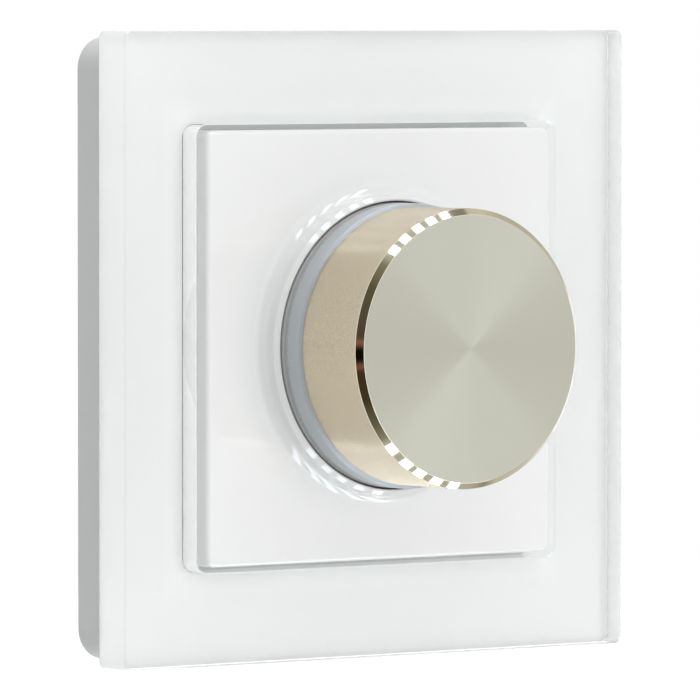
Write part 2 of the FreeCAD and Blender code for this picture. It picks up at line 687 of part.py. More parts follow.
def make_encoder_body():
    """Square encoder housing with a chamber for the rotor and one for the push switch."""
    side = 2 * (chamber_radius + ENCODER_SIDE_WALL)
    body = block(side, side, LID_THICKNESS, board_front_y)
    body = body.cut(rod(shaft_bore_radius, LID_THICKNESS, partition_back_y))
    body = body.cut(rod(chamber_radius, chamber_front_y, partition_front_y))
    return body.cut(rod(ACTUATOR_RADIUS + ACTUATOR_GAP, partition_back_y, base_front_y))


def make_encoder_rotor():
    """Detent wheel with notches round its rim and a D-shaped bore."""
    notch_centre = ROTOR_RADIUS - DETENT_DEPTH + DETENT_RADIUS
    notch = rod(DETENT_RADIUS, rotor_front_y, rotor_back_y, z=notch_centre)
    rotor = rod(ROTOR_RADIUS, rotor_front_y, rotor_back_y)
    rotor = rotor.cut(Part.makeCompound(repeated(notch, DETENT_COUNT)))
    return rotor.cut(shaft_outline(SHAFT_RUNNING_FIT, rotor_front_y, rotor_back_y))


def make_detent_spring():
    """Leaf spring along the chamber's wall, its bump lifted just clear of the rotor's rim over a notch."""
    outer = chamber_radius - DETENT_WALL_GAP
    band = ring(outer, outer - DETENT_BAND, rotor_front_y, rotor_back_y)
    half_angle = math.radians(DETENT_BAND_ANGLE / 2)
    reach = 2 * chamber_radius
    fan = Part.makePolygon([
        Vector(0, rotor_front_y, 0),
        Vector(reach * math.sin(half_angle), rotor_front_y, reach * math.cos(half_angle)),
        Vector(-reach * math.sin(half_angle), rotor_front_y, reach * math.cos(half_angle)),
        Vector(0, rotor_front_y, 0),
    ])
    band = band.common(Part.Face(fan).extrude(ALONG * ROTOR_THICKNESS))
    bump_centre = ROTOR_RADIUS + DETENT_RUNNING_GAP + DETENT_BUMP_RADIUS
    bump = rod(DETENT_BUMP_RADIUS, rotor_front_y, rotor_back_y, z=bump_centre)
    stem_height = outer - DETENT_BAND / 2 - bump_centre
    stem_z = bump_centre + stem_height / 2
    stem = block(DETENT_BUMP_RADIUS, stem_height, rotor_front_y, rotor_back_y, z=stem_z)
    return band.multiFuse([bump, stem]).removeSplitter()


def make_switch_actuator():
    """Disc that the end of the shaft pushes."""
    return rod(ACTUATOR_RADIUS, actuator_front_y, actuator_back_y)


def make_contact_dome():
    """Four-legged snap dome of spring steel that pushes the knob back out."""
    reach = ACTUATOR_RADIUS - DOME_INSET
    knee = reach - DOME_FOOT
    top = DOME_TOP_WIDTH / 2
    crown_back_y = actuator_back_y + DOME_THICKNESS
    foot_front_y = base_front_y - DOME_THICKNESS
    front = [(-reach, foot_front_y), (-knee, foot_front_y), (-top, actuator_back_y),
             (top, actuator_back_y), (knee, foot_front_y), (reach, foot_front_y)]
    back = [(reach, base_front_y), (knee, base_front_y), (top, crown_back_y),
            (-top, crown_back_y), (-knee, base_front_y), (-reach, base_front_y)]
    section = front + back + front[:1]
    outline = Part.makePolygon([Vector(x, y, -DOME_LEG_WIDTH / 2) for x, y in section])
    strip = Part.Face(outline).extrude(Vector(0, 0, DOME_LEG_WIDTH))
    return strip.fuse(turned_about(strip, 90)).removeSplitter()


def make_terminal_block():
    """Moulded block with a pocket, a wire window and a screw hole for each wire."""
    body = block(terminal_room, TERMINAL_DEPTH, board_back_y, pot_floor_y, z=terminal_z)
    pocket_width = clamp_width + 2 * CLAMP_CLEARANCE
    pocket_length = CLAMP_LENGTH + 2 * CLAMP_CLEARANCE
    pocket_back_y = clamp_back_y + CLAMP_HEAD_HEIGHT / 2
    window_front_y = wire_y - wire_window / 2
    window_back_y = wire_y + wire_window / 2
    window_z = terminal_outer_z + TERMINAL_DEPTH / 4
    cuts = []
    for x in terminal_columns:
        cuts.append(block(pocket_width, pocket_length, clamp_front_y, pocket_back_y, x, terminal_z))
        cuts.append(block(wire_window, TERMINAL_DEPTH / 2, window_front_y, window_back_y, x, window_z))
        cuts.append(rod(access_radius, pocket_back_y, pot_floor_y, x, terminal_z))
    return body.cut(Part.makeCompound(cuts))


def make_terminal_clamps():
    """Brass cages with a passage for the wire and a threaded roof."""
    passage_front_y = wire_y - wire_window / 2
    passage_back_y = wire_y + wire_window / 2
    cages = []
    for x in terminal_columns:
        cage = block(clamp_width, CLAMP_LENGTH, clamp_front_y, clamp_back_y, x, terminal_z)
        cage = cage.cut(block(wire_window, CLAMP_LENGTH, passage_front_y, passage_back_y, x, terminal_z))
        cage = cage.cut(rod(CLAMP_SCREW_RADIUS + CLAMP_THREAD_GAP, wire_y, clamp_back_y, x, terminal_z))
        cages.append(cage)
    return Part.makeCompound(cages)


def make_terminal_screws():
    """Slotted clamp screws, wound out as delivered."""
    head_back_y = clamp_back_y + CLAMP_HEAD_HEIGHT
    slot_front_y = head_back_y - CLAMP_SLOT_DEPTH
    end_y = wire_y + wire_window / 2 - CLAMP_SCREW_REACH
    screws = []
    for x in terminal_columns:
        head = rod(CLAMP_HEAD_RADIUS, clamp_back_y, head_back_y, x, terminal_z)
        shank = rod(CLAMP_SCREW_RADIUS, end_y, clamp_back_y, x, terminal_z)
        across = block(CLAMP_SLOT_WIDTH, 2 * CLAMP_HEAD_RADIUS, slot_front_y, head_back_y, x, terminal_z)
        screws.append(head.fuse(shank).cut(across).removeSplitter())
    return Part.makeCompound(screws)


heat_sink_x = -(housing_width / 2 - HOUSING_WALL - HEAT_SINK_GAP - HEAT_SINK_THICKNESS / 2)


def make_heat_sink():
    """Aluminium plate along the pot's side wall."""
    return block(HEAT_SINK_THICKNESS, HEAT_SINK_HEIGHT, board_back_y, component_back_y, heat_sink_x)


def make_power_transistors():
    """Two power switches flat on the heat sink."""
    x = heat_sink_x + HEAT_SINK_THICKNESS / 2 + TRANSISTOR_THICKNESS / 2
    bodies = []
    for side in (-1, 1):
        bodies.append(block(TRANSISTOR_THICKNESS, TRANSISTOR_WIDTH, board_back_y, component_back_y, x,
                            side * TRANSISTOR_SPACING / 2))
    return Part.makeCompound(bodies)


def make_capacitor():
    """Boxed film capacitor by the pot's upper wall."""
    z = housing_height / 2 - HOUSING_WALL - CAPACITOR_WALL_GAP - CAPACITOR_THICKNESS / 2
    return rounded_block(CAPACITOR_WIDTH, CAPACITOR_THICKNESS, CAPACITOR_ROUND,
                         board_back_y, component_back_y, CAPACITOR_X, z)


def make_fuse():
    """Round miniature fuse, standing on the board by the pot's upper wall."""
    z = housing_height / 2 - HOUSING_WALL - FUSE_WALL_GAP - FUSE_RADIUS
    return rod(FUSE_RADIUS, board_back_y, component_back_y, FUSE_X, z)


winding_radius = CHOKE_OUTER_RADIUS + CHOKE_WIRE_GAP + CHOKE_WIRE
choke_x = housing_width / 2 - HOUSING_WALL - CHOKE_WALL_GAP - winding_radius
choke_front_y = board_back_y + CHOKE_WIRE + CHOKE_WIRE_GAP
choke_back_y = component_back_y - CHOKE_WIRE - CHOKE_WIRE_GAP


def make_choke_core():
    """Ring core of the choke."""
    return ring(CHOKE_OUTER_RADIUS, CHOKE_INNER_RADIUS, choke_front_y, choke_back_y, choke_x)


def make_choke_winding():
    """Turns of enamelled wire round the core's section."""
    bore_radius = CHOKE_INNER_RADIUS - CHOKE_WIRE_GAP
    sleeve = ring(winding_radius, bore_radius - CHOKE_WIRE, board_back_y, component_back_y)
    room_front_y = board_back_y + CHOKE_WIRE
    room_back_y = component_back_y - CHOKE_WIRE
    sleeve = sleeve.cut(ring(winding_radius - CHOKE_WIRE, bore_radius, room_front_y, room_back_y))
    blade = block(2 * CHOKE_OUTER_RADIUS, CHOKE_WIRE, board_back_y, component_back_y, x=CHOKE_OUTER_RADIUS)
    turns = [sleeve.common(one) for one in repeated(blade, CHOKE_TURNS)]
    winding = Part.makeCompound(turns)
    winding.translate(Vector(choke_x, 0, 0))
    return winding


PIECES = {
    "glass_frame": make_glass_frame,
    "bonding_tape": make_bonding_tape,
    "frame_carrier": make_frame_carrier,
    "cover_plate": make_cover_plate,
    "knob_cap": make_knob_cap,
    "knob_hub": make_knob_hub,
    "hub_clip": make_hub_clip,
    "light_ring": make_light_ring,
    "encoder_shaft": make_encoder_shaft,
    "encoder_bushing": make_encoder_bushing,
    "bushing_nut": make_bushing_nut,
    "lock_washer": make_lock_washer,
    "lamp_board": make_lamp_board,
    "ring_lamps": make_ring_lamps,
    "support_plate": make_support_plate,
    "housing_front": make_housing_front,
    "housing_rear": make_housing_rear,
    "housing_screws": make_housing_screws,
    "circuit_board": make_circuit_board,
    "encoder_body": make_encoder_body,
    "encoder_rotor": make_encoder_rotor,
    "detent_spring": make_detent_spring,
    "switch_actuator": make_switch_actuator,
    "contact_dome": make_contact_dome,
    "terminal_block": make_terminal_block,
    "terminal_clamps": make_terminal_clamps,
    "terminal_screws": make_terminal_screws,
    "heat_sink": make_heat_sink,
    "power_transistors": make_power_transistors,
    "capacitor": make_capacitor,
    "fuse": make_fuse,
    "choke_core": make_choke_core,
    "choke_winding": make_choke_winding,
}

os.makedirs("parts", exist_ok=True)
for node, make in PIECES.items():
    make().exportStep(f"parts/{node}.step")
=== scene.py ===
import math
import bpy
import bmesh
from mathutils import Matrix, Vector


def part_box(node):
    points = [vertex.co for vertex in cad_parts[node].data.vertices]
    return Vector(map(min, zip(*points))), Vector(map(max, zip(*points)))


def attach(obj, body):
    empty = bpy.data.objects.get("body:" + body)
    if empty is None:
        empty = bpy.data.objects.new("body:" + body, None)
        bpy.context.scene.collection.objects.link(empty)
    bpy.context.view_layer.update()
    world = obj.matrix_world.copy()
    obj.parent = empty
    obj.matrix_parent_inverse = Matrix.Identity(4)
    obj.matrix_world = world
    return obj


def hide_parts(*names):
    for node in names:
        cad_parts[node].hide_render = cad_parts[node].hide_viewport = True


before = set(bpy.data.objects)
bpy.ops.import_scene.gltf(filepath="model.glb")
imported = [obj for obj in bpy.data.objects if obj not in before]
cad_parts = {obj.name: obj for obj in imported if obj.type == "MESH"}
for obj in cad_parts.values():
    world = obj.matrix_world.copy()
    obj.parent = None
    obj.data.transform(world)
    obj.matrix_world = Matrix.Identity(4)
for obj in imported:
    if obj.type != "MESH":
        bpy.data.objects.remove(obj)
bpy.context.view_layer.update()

# Support plate: a square of zinc-plated sheet steel, screwed to the wall box through two of its slots.
# It carries the whole dimmer, and its plating is a bluish grey with faint cloudy spangles.

MM = 0.001
ZINC = (0.56, 0.58, 0.60)
ZINC_SHADE = (0.42, 0.44, 0.47)
ZINC_CLOUDS = {"cloud": 3.0 * MM, "roughness": 0.28}
CLOUD_ROUGHNESS = 0.2
SHEET_GRAIN = 0.15 * MM
SHEET_GRAIN_DEPTH = 0.01 * MM


class Signal:
    """The output of a shader node, on which sums and products can be written."""

    def __init__(self, finish, socket):
        self.finish = finish
        self.socket = socket

    def maths(self, operation, *values):
        return self.finish.node("Math", {"operation": operation}, dict(enumerate(values)))

    def __add__(self, other):
        return self.maths("ADD", self, other)

    def __sub__(self, other):
        return self.maths("SUBTRACT", self, other)

    def __rsub__(self, other):
        return self.maths("SUBTRACT", other, self)

    def __mul__(self, other):
        return self.maths("MULTIPLY", self, other)

    def __pow__(self, other):
        return self.maths("POWER", self, other)

    def __gt__(self, other):
        return self.maths("GREATER_THAN", self, other)

    def __lt__(self, other):
        return self.maths("LESS_THAN", self, other)

    def __abs__(self):
        return self.maths("ABSOLUTE", self)

    __radd__ = __add__
    __rmul__ = __mul__

    def clamped(self):
        return self.finish.node("Clamp", {}, {"Value": self})


class Finish:
    """A material, or the studio's surroundings, put together node by node."""

    def __init__(self, name, collection=bpy.data.materials):
        self.material = collection.new(name)
        self.material.use_nodes = True
        self.tree = self.material.node_tree
        self.tree.nodes.clear()

    def node(self, kind, settings, values, output=0):
        made = self.tree.nodes.new("ShaderNode" + kind)
        for name, setting in settings.items():
            if name == "stops":
                self.set_stops(made.color_ramp, setting)
            else:
                setattr(made, name, setting)
        for place, value in values.items():
            if isinstance(value, Signal):
                self.tree.links.new(value.socket, made.inputs[place])
            elif isinstance(value, tuple) and made.inputs[place].type == "RGBA":
                made.inputs[place].default_value = (*value, 1.0)
            else:
                made.inputs[place].default_value = value
        return Signal(self, made.outputs[output])

    def set_stops(self, ramp, stops):
        while len(ramp.elements) < len(stops):
            ramp.elements.new(1.0)
        for element, (place, colour) in zip(ramp.elements, stops):
            element.position = place
            element.color = (*colour, 1.0)

    def coordinates(self, kind="Object"):
        return self.node("TexCoord", {}, {}, kind)

    def split(self, vector, axis):
        return self.node("SeparateXYZ", {}, {"Vector": vector}, axis)

    def axis(self, name):
        return self.split(self.coordinates(), name)

    def speckle(self, size, detail=2.0):
        values = {"Vector": self.coordinates(), "Scale": 1 / size, "Detail": detail}
        return self.node("TexNoise", {}, values, "Fac")

    def blend(self, amount, first, second):
        """Two colours mixed; the node's sockets 6 and 7 take them, and its output 2 gives the mixture."""
        return self.node("Mix", {"data_type": "RGBA"}, {0: amount, 6: first, 7: second}, 2)

    def bumps(self, height, depth, strength=1.0):
        return self.node("Bump", {}, {"Height": height, "Distance": depth, "Strength": strength})

    def ray(self, kind):
        return self.node("LightPath", {}, {}, kind)

    def surface(self, values):
        return self.close(self.node("BsdfPrincipled", {}, values))

    def close(self, shader, kind="Material"):
        end = self.tree.nodes.new("ShaderNodeOutput" + kind)
        self.tree.links.new(shader.socket, end.inputs["Surface"])
        return self.material


def sheet_metal(name, colour, shade, cloud, roughness):
    """Plated or rolled metal, with clouds of that size in its colour and gloss."""
    finish = Finish(name)
    clouds = finish.speckle(cloud, detail=3.0)
    grain = finish.speckle(SHEET_GRAIN)
    return finish.surface({
        "Base Color": finish.blend(clouds, shade, colour),
        "Metallic": 1.0,
        "Roughness": clouds * CLOUD_ROUGHNESS + roughness,
        "Normal": finish.bumps(grain, SHEET_GRAIN_DEPTH),
    })


def wear(node, material):
    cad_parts[node].material_slots[0].material = material


wear("support_plate", sheet_metal("zinc_plated_steel", ZINC, ZINC_SHADE, **ZINC_CLOUDS))

# Housing of the insert: a lid and a deep pot, moulded in light grey polyamide with a fine spark texture.
# Two diagonal screws with zinc-plated heads hold support plate, lid and pot together.

HOUSING_GREY = (0.52, 0.53, 0.53)
LID_GREY = (0.46, 0.47, 0.47)
SCREW_ZINC = (0.60, 0.60, 0.58)
SCREW_ZINC_SHADE = (0.45, 0.45, 0.44)
SPARK_TEXTURE = {"roughness": 0.5, "grain": 0.35 * MM, "depth": 0.02 * MM}
SCREW_CLOUDS = {"cloud": 0.8 * MM, "roughness": 0.25}
FLOW_SIZE = 6.0 * MM
GRAIN_ROUGHNESS = 0.1


def darkened(colour, shade):
    return tuple(channel * shade for channel in colour)


def moulding(name, colour, roughness, grain, depth, shade=0.9):
    """Moulded plastic, mottled a little, with a grain of that size and depth."""
    finish = Finish(name)
    flow = finish.speckle(FLOW_SIZE, detail=3.0)
    texture = finish.speckle(grain)
    return finish.surface({
        "Base Color": finish.blend(flow, darkened(colour, shade), colour),
        "Roughness": texture * GRAIN_ROUGHNESS + roughness,
        "Normal": finish.bumps(texture, depth),
    })


wear("housing_front", moulding("lid_polyamide", LID_GREY, **SPARK_TEXTURE))
wear("housing_rear", moulding("housing_polyamide", HOUSING_GREY, **SPARK_TEXTURE))
wear("housing_screws", sheet_metal("screw_plating", SCREW_ZINC, SCREW_ZINC_SHADE, **SCREW_CLOUDS))

# Circuit board: green laminate with copper tracks under the lacquer, held between posts and pot.
# The tracks show as slightly lighter bands.

LACQUER_GREEN = (0.015, 0.11, 0.045)
TRACK_GREEN = (0.03, 0.19, 0.07)
TRACK_PITCH = 2.5 * MM
TRACK_UNEVENNESS = 0.35
TRACK_FROM = 0.45
TRACK_HEIGHT = 0.03 * MM
TRACK_SHINE = 0.06
LACQUER_ROUGHNESS = 0.3


def laminate(name, lacquer, track):
    finish = Finish(name)
    pattern = {"feature": "F1", "distance": "MANHATTAN"}
    values = {"Vector": finish.coordinates(), "Scale": 1 / TRACK_PITCH, "Randomness": TRACK_UNEVENNESS}
    tracks = finish.node("TexVoronoi", pattern, values, "Distance") > TRACK_FROM
    return finish.surface({
        "Base Color": finish.blend(tracks, lacquer, track),
        "Roughness": LACQUER_ROUGHNESS - tracks * TRACK_SHINE,
        "Normal": finish.bumps(tracks, TRACK_HEIGHT),
    })


wear("circuit_board", laminate("green_laminate", LACQUER_GREEN, TRACK_GREEN))

# Rotary encoder: black moulded housing with a pale detent wheel, a leaf spring and a push switch.
# The snap dome under the actuator is stamped from spring steel.

ENCODER_BLACK = (0.022, 0.022, 0.025)
ROTOR_IVORY = (0.62, 0.58, 0.48)
SPRING_STEEL = (0.55, 0.54, 0.50)
SPRING_STEEL_SHADE = (0.40, 0.38, 0.34)
ACTUATOR_WHITE = (0.66, 0.66, 0.64)
DARK_MOTTLING = 0.7
ENCODER_TEXTURE = {"roughness": 0.42, "grain": 0.3 * MM, "depth": 0.015 * MM, "shade": DARK_MOTTLING}
ACETAL_TEXTURE = {"roughness": 0.38, "grain": 0.25 * MM, "depth": 0.01 * MM}
SPRING_CLOUDS = {"cloud": 0.5 * MM, "roughness": 0.2}

wear("encoder_body", moulding("encoder_moulding", ENCODER_BLACK, **ENCODER_TEXTURE))
wear("encoder_rotor", moulding("detent_acetal", ROTOR_IVORY, **ACETAL_TEXTURE))
wear("switch_actuator", moulding("actuator_acetal", ACTUATOR_WHITE, **ACETAL_TEXTURE))
spring = sheet_metal("spring_steel_strip", SPRING_STEEL, SPRING_STEEL_SHADE, **SPRING_CLOUDS)
wear("detent_spring", spring)
wear("contact_dome", spring)

# Shaft, bushing, nut and washer: turned steel and nickel-plated brass, with the marks of the lathe.
# The nut clamps the cover plate's floor on the bushing's thread.

SHAFT_STEEL = (0.58, 0.57, 0.55)
SHAFT_MARKS = {"roughness": 0.24, "pitch": 0.12 * MM, "depth": 0.002 * MM}
NICKEL = (0.66, 0.62, 0.54)
BUSHING_THREAD = {"roughness": 0.26, "pitch": 0.75 * MM, "depth": 0.12 * MM}
NUT_CLOUDS = {"cloud": 1.0 * MM, "roughness": 0.2}
WASHER_CLOUDS = {"cloud": 1.0 * MM, "roughness": 0.25}
DUST_SIZE = 0.5 * MM
DUST_SHADE = 0.8
DUST_ROUGHNESS = 0.12


def turned_metal(name, colour, roughness, pitch, depth):
    """Metal with rings round the Y axis, at that pitch and depth."""
    finish = Finish(name)
    rings = finish.node("Math", {"operation": "SINE"}, {0: finish.axis("Y") * (2 * math.pi / pitch)})
    dust = finish.speckle(DUST_SIZE)
    return finish.surface({
        "Base Color": finish.blend(dust, darkened(colour, DUST_SHADE), colour),
        "Metallic": 1.0,
        "Roughness": dust * DUST_ROUGHNESS + roughness,
        "Normal": finish.bumps(rings, depth),
    })


wear("encoder_shaft", turned_metal("shaft_turned_steel", SHAFT_STEEL, **SHAFT_MARKS))
wear("encoder_bushing", turned_metal("bushing_nickel", NICKEL, **BUSHING_THREAD))
wear("bushing_nut", sheet_metal("nut_nickel", NICKEL, SPRING_STEEL_SHADE, **NUT_CLOUDS))
wear("lock_washer", sheet_metal("washer_zinc", SCREW_ZINC, SCREW_ZINC_SHADE, **WASHER_CLOUDS))

# Wire terminals: a moulded block of grey polyamide with three brass cages and plated screws.
# The wires enter from below through the windows of the pot.

TERMINAL_GREY = (0.36, 0.38, 0.39)
CLAMP_BRASS = (0.72, 0.52, 0.22)
CLAMP_BRASS_SHADE = (0.52, 0.35, 0.13)
TERMINAL_TEXTURE = {"roughness": 0.45, "grain": 0.3 * MM, "depth": 0.015 * MM}
CLAMP_CLOUDS = {"cloud": 1.5 * MM, "roughness": 0.24}

wear("terminal_block", moulding("terminal_polyamide", TERMINAL_GREY, **TERMINAL_TEXTURE))
wear("terminal_clamps", sheet_metal("clamp_brass_strip", CLAMP_BRASS, CLAMP_BRASS_SHADE, **CLAMP_CLOUDS))
wear("terminal_screws", sheet_metal("terminal_screw_plating", SCREW_ZINC, SCREW_ZINC_SHADE, **SCREW_CLOUDS))

# Power stage: two transistors in black epoxy on a plate of anodised aluminium that cools them,
# a film capacitor, a ceramic fuse and a choke with copper wire on a ferrite ring.

EPOXY_BLACK = (0.018, 0.018, 0.020)
SINK_ALUMINIUM = (0.60, 0.61, 0.62)
SINK_SHADE = (0.48, 0.49, 0.50)
CAPACITOR_BLUE = (0.12, 0.24, 0.58)
FUSE_BROWN = (0.20, 0.10, 0.05)
FERRITE = (0.05, 0.052, 0.055)
COPPER = (0.78, 0.34, 0.16)
COPPER_SHADE = (0.50, 0.17, 0.07)
EPOXY_TEXTURE = {"roughness": 0.4, "grain": 0.2 * MM, "depth": 0.01 * MM, "shade": DARK_MOTTLING}
CAPACITOR_TEXTURE = {"roughness": 0.35, "grain": 0.5 * MM, "depth": 0.01 * MM}
FUSE_TEXTURE = {"roughness": 0.3, "grain": 0.5 * MM, "depth": 0.01 * MM}
FERRITE_TEXTURE = {"roughness": 0.5, "grain": 0.2 * MM, "depth": 0.02 * MM, "shade": DARK_MOTTLING}
SINK_CLOUDS = {"cloud": 1.2 * MM, "roughness": 0.32}
COPPER_CLOUDS = {"cloud": 0.6 * MM, "roughness": 0.22}

wear("power_transistors", moulding("transistor_epoxy", EPOXY_BLACK, **EPOXY_TEXTURE))
wear("heat_sink", sheet_metal("sink_anodised", SINK_ALUMINIUM, SINK_SHADE, **SINK_CLOUDS))
wear("capacitor", moulding("capacitor_casting", CAPACITOR_BLUE, **CAPACITOR_TEXTURE))
wear("fuse", moulding("fuse_lacquer", FUSE_BROWN, **FUSE_TEXTURE))
wear("choke_core", moulding("ferrite_core", FERRITE, **FERRITE_TEXTURE))
wear("choke_winding", sheet_metal("enamelled_copper", COPPER, COPPER_SHADE, **COPPER_CLOUDS))

# Carrier: a shallow frame moulded in light grey plastic, which lies on the wall behind the glass.
# Its outer walls are satin, with a fine spark texture.

CARRIER_GREY = (0.635, 0.66, 0.65)
CARRIER_TEXTURE = {"roughness": 0.42, "grain": 0.25 * MM, "depth": 0.008 * MM, "shade": 0.97}

wear("frame_carrier", moulding("carrier_plastic_moulded", CARRIER_GREY, **CARRIER_TEXTURE))

# Bonding tape: a ring of white foam, sticky on both sides, that holds the glass on the carrier.
# Its cut edges show open cells.

FOAM_WHITE = (0.72, 0.72, 0.70)
FOAM_CELLS = {"roughness": 0.8, "grain": 0.2 * MM, "depth": 0.06 * MM, "shade": 0.85}

wear("bonding_tape", moulding("tape_foam_cells", FOAM_WHITE, **FOAM_CELLS))

# Glass frame: 5.5 mm of clear float glass, ground and polished at its edges, with a square cutout.
# Its back is printed with white paint, which stops just short of the edges.
# Along its outer edges a band of the print is painted a little darker: painted shade.
# Round the cutout the white print is painted lighter: painted light against the shade there.

GLASS_CLEAR = (0.985, 0.995, 0.988)
GLASS_INDEX = 1.5
GLASS_RIPPLE = 14.0 * MM
GLASS_RIPPLE_DEPTH = 0.004 * MM
GLASS_RIPPLE_STRENGTH = 0.2
PAINT_WHITE = (0.885, 0.90, 0.895)
# Painted shade: the band along the outer edges is a little darker than the print.
PAINTED_SHADE_AT_EDGE = (0.87, 0.885, 0.88)
# Painted light: the print is lighter round the cutout, against the shade there.
PAINTED_LIGHT_NEAR_CUTOUT = (0.975, 0.99, 0.985)
PAINT_ROUGHNESS = 0.6
PAINT_CLOUD = 9.0 * MM
PAINT_CLOUD_SHADE = 0.985
PAINTED_LIGHT_FADE = 3.5 * MM
PAINT_EDGE_WIDTH = 0.5 * MM
PAINT_CORNER_OUTSIDE = 0.9 * MM
PAINT_CORNER_INSIDE = 1.7 * MM
PAINT_DEPTH = 0.03 * MM
PAINT_MARGIN = 0.05 * MM
CORNER_STEPS = 6
CUTOUT_SIDE_GAP = 1.2 * MM
CUTOUT_TOP_GAP = 0.7 * MM

glass_low, glass_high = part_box("glass_frame")
plate_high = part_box("cover_plate")[1]
cutout_half_width = plate_high[0] + CUTOUT_SIDE_GAP
cutout_half_height = plate_high[2] + CUTOUT_TOP_GAP


def clear_glass():
    finish = Finish("clear_float_glass")
    ripple = finish.speckle(GLASS_RIPPLE, detail=1.0)
    return finish.surface({
        "Base Color": GLASS_CLEAR,
        "Roughness": 0.0,
        "IOR": GLASS_INDEX,
        "Transmission Weight": 1.0,
        "Normal": finish.bumps(ripple, GLASS_RIPPLE_DEPTH, GLASS_RIPPLE_STRENGTH),
    })


def print_and_painted_shading(name, colour, painted_light_at_cutout):
    """Paint fading from a colour at the cutout to another some way off; a lighter one there is painted
    light.
    """
    finish = Finish(name)
    clouds = finish.speckle(PAINT_CLOUD)
    beside = abs(finish.axis("X")) - cutout_half_width
    above = abs(finish.axis("Z")) - cutout_half_height
    off_cutout = beside.maths("MAXIMUM", beside, above) * (1 / PAINTED_LIGHT_FADE)
    share_beyond_painted_light = off_cutout.clamped() ** 0.5
    clouded = finish.blend(clouds, darkened(colour, PAINT_CLOUD_SHADE), colour)
    # Painted light: towards the cutout the colour turns to the lighter one, against the shade round it.
    print_with_painted_light = finish.blend(share_beyond_painted_light, painted_light_at_cutout, clouded)
    return finish.surface({"Base Color": print_with_painted_light, "Roughness": PAINT_ROUGHNESS})


def rounded_loop(mesh, half_width, half_height, corner, depth):
    """Vertices of a rectangle with round corners, in the plane at that depth."""
    loop = []
    for quarter, (side_x, side_z) in enumerate(((1, 1), (-1, 1), (-1, -1), (1, -1))):
        for step in range(CORNER_STEPS + 1):
            angle = math.pi / 2 * (quarter + step / CORNER_STEPS)
            x = side_x * (half_width - corner) + corner * math.cos(angle)
            z = side_z * (half_height - corner) + corner * math.sin(angle)
            loop.append(mesh.verts.new((x, depth, z)))
    return loop


def bridge(mesh, first, second, slot=0, smooth=False):
    """Quads between two closed loops with as many vertices each."""
    for index in range(len(first)):
        following = (index + 1) % len(first)
        face = mesh.faces.new((first[index], first[following], second[following], second[index]))
        face.material_index = slot
        face.smooth = smooth


def make_object(name, mesh, *materials):
    """A named object in the scene, made from a mesh."""
    data = bpy.data.meshes.new(name)
    mesh.to_mesh(data)
    mesh.free()
    for material in materials:
        data.materials.append(material)
    made = bpy.data.objects.new(name, data)
    bpy.context.scene.collection.objects.link(made)
    return made


paint_y = glass_high[1] - PAINT_DEPTH
outer = glass_high[0] - PAINT_MARGIN
inside_edge = outer - PAINT_EDGE_WIDTH
inner_x = cutout_half_width + PAINT_MARGIN
inner_z = cutout_half_height + PAINT_MARGIN
paint = bmesh.new()
paint_loops = [
    rounded_loop(paint, outer, outer, PAINT_CORNER_OUTSIDE, paint_y),
    rounded_loop(paint, inside_edge, inside_edge, PAINT_CORNER_OUTSIDE, paint_y),
    rounded_loop(paint, inner_x, inner_z, PAINT_CORNER_INSIDE, paint_y),
]
bridge(paint, paint_loops[0], paint_loops[1], slot=1)
bridge(paint, paint_loops[1], paint_loops[2], slot=0)
wear("glass_frame", clear_glass())
white_print_with_painted_light = print_and_painted_shading("white_print_with_painted_light", PAINT_WHITE, PAINTED_LIGHT_NEAR_CUTOUT)
# The outer edge band wears the darker print: painted shade.
print_edge_painted_shade = print_and_painted_shading("print_edge_painted_shade", PAINTED_SHADE_AT_EDGE, PAINTED_SHADE_AT_EDGE)
back_paint = make_object("back_paint", paint, white_print_with_painted_light, print_edge_painted_shade)
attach(back_paint, "root")

# Cover plate: 55 mm square, moulded in glossy white plastic, with a raised collar round the knob.
# Its surface comes from a polished mould and has only a very faint waviness.

COVER_WHITE = (0.835, 0.847, 0.842)
COVER_ROUGHNESS = 0.04
COVER_INDEX = 1.5
COVER_WAVE = 5.0 * MM
COVER_WAVE_SHADE = 0.985
COVER_WAVE_DEPTH = 0.003 * MM
COVER_WAVE_STRENGTH = 0.3


def polished_moulding(name, colour):
    finish = Finish(name)
    waves = finish.speckle(COVER_WAVE, detail=1.0)
    return finish.surface({
        "Base Color": finish.blend(waves, darkened(colour, COVER_WAVE_SHADE), colour),
        "Roughness": COVER_ROUGHNESS,
        "IOR": COVER_INDEX,
        "Normal": finish.bumps(waves, COVER_WAVE_DEPTH, COVER_WAVE_STRENGTH),
    })


wear("cover_plate", polished_moulding("cover_gloss_white", COVER_WHITE))

# Lamp ring: a ring of white laminate with four small lamps that light the knob's ring from below.
# The lamps are cast in clear yellowish resin.

LAMP_BOARD_WHITE = (0.70, 0.71, 0.70)
LAMP_RESIN = (0.74, 0.62, 0.22)
BOARD_TEXTURE = {"roughness": 0.35, "grain": 0.4 * MM, "depth": 0.01 * MM}
RESIN_TEXTURE = {"roughness": 0.25, "grain": 0.4 * MM, "depth": 0.01 * MM}

wear("lamp_board", moulding("lamp_board_lacquer", LAMP_BOARD_WHITE, **BOARD_TEXTURE))
wear("ring_lamps", moulding("lamp_resin_cast", LAMP_RESIN, **RESIN_TEXTURE))

# Light ring: a translucent grey moulding that turns with the knob and glows when the lamps are lit.
# Its outside is satin; painted shade darkens it near the collar, painted light makes its foot in the well
# paler.

RING_GREY = (0.46, 0.49, 0.515)
# Painted shade: the ring is darker towards the collar, where the collar shades it.
RING_PAINTED_SHADE = (0.35, 0.36, 0.36)
RING_PAINTED_SHADE_FROM = -16.3 * MM
RING_PAINTED_SHADE_FADE = 0.5 * MM
RING_PAINTED_SHADE_RAGGEDNESS = 2.0
